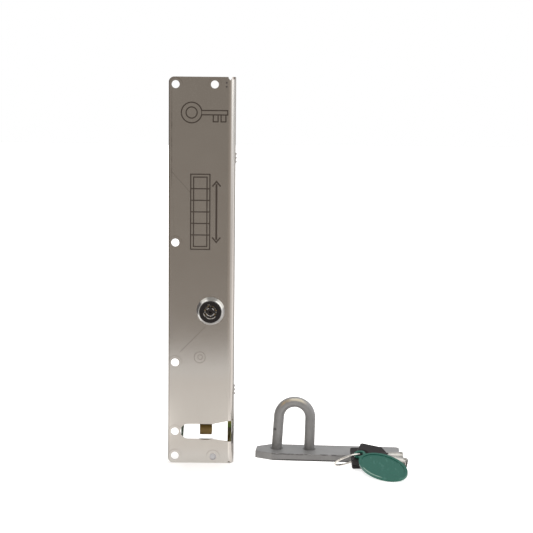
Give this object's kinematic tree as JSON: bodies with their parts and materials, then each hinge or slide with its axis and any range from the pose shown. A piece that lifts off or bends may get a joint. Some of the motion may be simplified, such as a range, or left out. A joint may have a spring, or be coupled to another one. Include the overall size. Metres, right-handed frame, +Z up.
{
  "type": "electric gate lock",
  "caption": "Upright surface-mounted electric gate lock with a bent stainless face, flared striker slot, vertical bolt and tubular key cylinder, with its hoop striker and keys.",
  "frame": {"origin": "on the bolt's axis, at mid-height of the striker slot; the floor under lock, striker and keys is 27.2 mm below", "axes": "+Z up along the bolt and the plate; +X out of the slot's mouth, the way the striker leaves; +Y from the front plate into the case"},
  "size_m": [0.2027, 0.1073, 0.327],
  "materials": {
    "stainless": "brushed stainless sheet, fine vertical grain",
    "yellow_zinc": "yellow-passivated zinc plate, gold with green and olive shades",
    "bright_steel": "bright zinc-plated or milled steel",
    "dark_steel": "hardened dark steel",
    "weld": "bare weld bead",
    "bolt_steel": "yellow-brown passivated steel bar",
    "chrome": "bright chrome",
    "black_plastic": "black moulded plastic",
    "brass": "machined brass or bronze",
    "rubber": "black rubber",
    "spring_steel": "spring wire",
    "board": "glass-fibre board with green mask",
    "component": "moulded component housings",
    "motor_steel": "plated motor can",
    "galvanised": "grey zinc coating, worn bright on the hoop's crown",
    "nickel": "nickel plate, slightly dull",
    "green_plastic": "green moulded plastic with a soft gloss"
  },
  "bodies": {
    "housing": {"front_plate": "stainless", "chassis": "yellow_zinc", "back_cover": "yellow_zinc", "cover_screws": "bright_steel", "keeper_block": "bright_steel", "keeper_rim": "dark_steel", "keeper_screws": "bright_steel", "bolt_guide": "yellow_zinc", "guide_screws": "bright_steel", "bearing_bracket": "bright_steel", "screw_bush": "brass", "motor_bracket": "bright_steel", "bracket_screws": "bright_steel", "motor_screws": "bright_steel", "gearbox": "motor_steel", "motor": "motor_steel", "cylinder_body": "chrome", "cylinder_face": "black_plastic", "cylinder_nut": "bright_steel", "circuit_board": "board", "board_spacers": "brass", "board_screws": "bright_steel", "terminal_block": "component", "relay": "component", "capacitor": "component", "limit_switches": "black_plastic", "switch_screws": "bright_steel", "cable_grommet": "rubber", "tack_welds": "weld"},
    "carriage": {"carriage": "bright_steel", "lead_nut": "brass", "carriage_pin": "bright_steel", "bolt_spring": "spring_steel"},
    "screw": {"lead_screw": "bright_steel", "screw_coupler": "bright_steel", "motor_shaft": "bright_steel"},
    "bolt": {"bolt": "bolt_steel"},
    "key_plug": {"cylinder_plug": "chrome", "tumbler_pins": "brass", "lifting_cam": "bright_steel", "cam_screw": "bright_steel"},
    "striker": {"striker_bar": "galvanised", "striker_hoop": "galvanised"},
    "ring": {"split_ring": "nickel"},
    "key_1": {"key_1_head": "black_plastic", "key_1_barrel": "nickel"},
    "key_2": {"key_2_head": "black_plastic", "key_2_barrel": "nickel"},
    "tag": {"key_tag": "green_plastic"}
  },
  "joints": [
    {"name": "carriage_slide", "type": "slide", "parent": "housing", "child": "carriage", "axis": [0, 0, 1], "range_m": [0, 0.0145]},
    {"name": "screw_spin", "type": "hinge", "parent": "housing", "child": "screw", "pos_m": [-0.0115, -0.01, 0.0728], "axis": [0, 0, 1], "range_deg": [0, 875]},
    {"name": "bolt_lift", "type": "slide", "parent": "carriage", "child": "bolt", "axis": [0, 0, 1], "range_m": [0, 0.0149], "stiffness_N_per_m": 250, "springref_m": -0.012, "deforming": ["bolt_spring"]},
    {"name": "key_turn", "type": "hinge", "parent": "housing", "child": "key_plug", "pos_m": [0.0041, -0.017, 0.1038], "axis": [0, 1, 0], "range_deg": [0, 90]},
    {"name": "striker_lift", "type": "slide", "parent": "housing", "child": "striker", "axis": [0, 0, 1], "range_m": [0, 0.06]},
    {"name": "key_set_lift", "type": "slide", "parent": "striker", "child": "ring", "axis": [0, 0, 1], "range_m": [0, 0.08]},
    {"name": "key_1_swing", "type": "hinge", "parent": "ring", "child": "key_1", "pos_m": [0.12972, -0.02704, -0.02059], "axis": [-0.012, -0.3228, 0.9464], "range_deg": [-2, 5]},
    {"name": "key_2_turn", "type": "hinge", "parent": "ring", "child": "key_2", "pos_m": [0.13339, -0.03515, -0.01572], "axis": [-0.001, -0.3697, 0.9292], "range_deg": [-6, 5]},
    {"name": "tag_turn", "type": "hinge", "parent": "ring", "child": "tag", "pos_m": [0.13068, -0.04029, -0.01409], "axis": [-0.1189, -0.3276, 0.9373], "range_deg": [0, 80]}
  ],
  "couplings": [
    {"joint": "screw_spin", "follows": "carriage_slide", "rad_per_m": 1047.2},
    {"joint": "key_turn", "follows": "bolt_lift", "rad_per_m": 105.26}
  ]
}
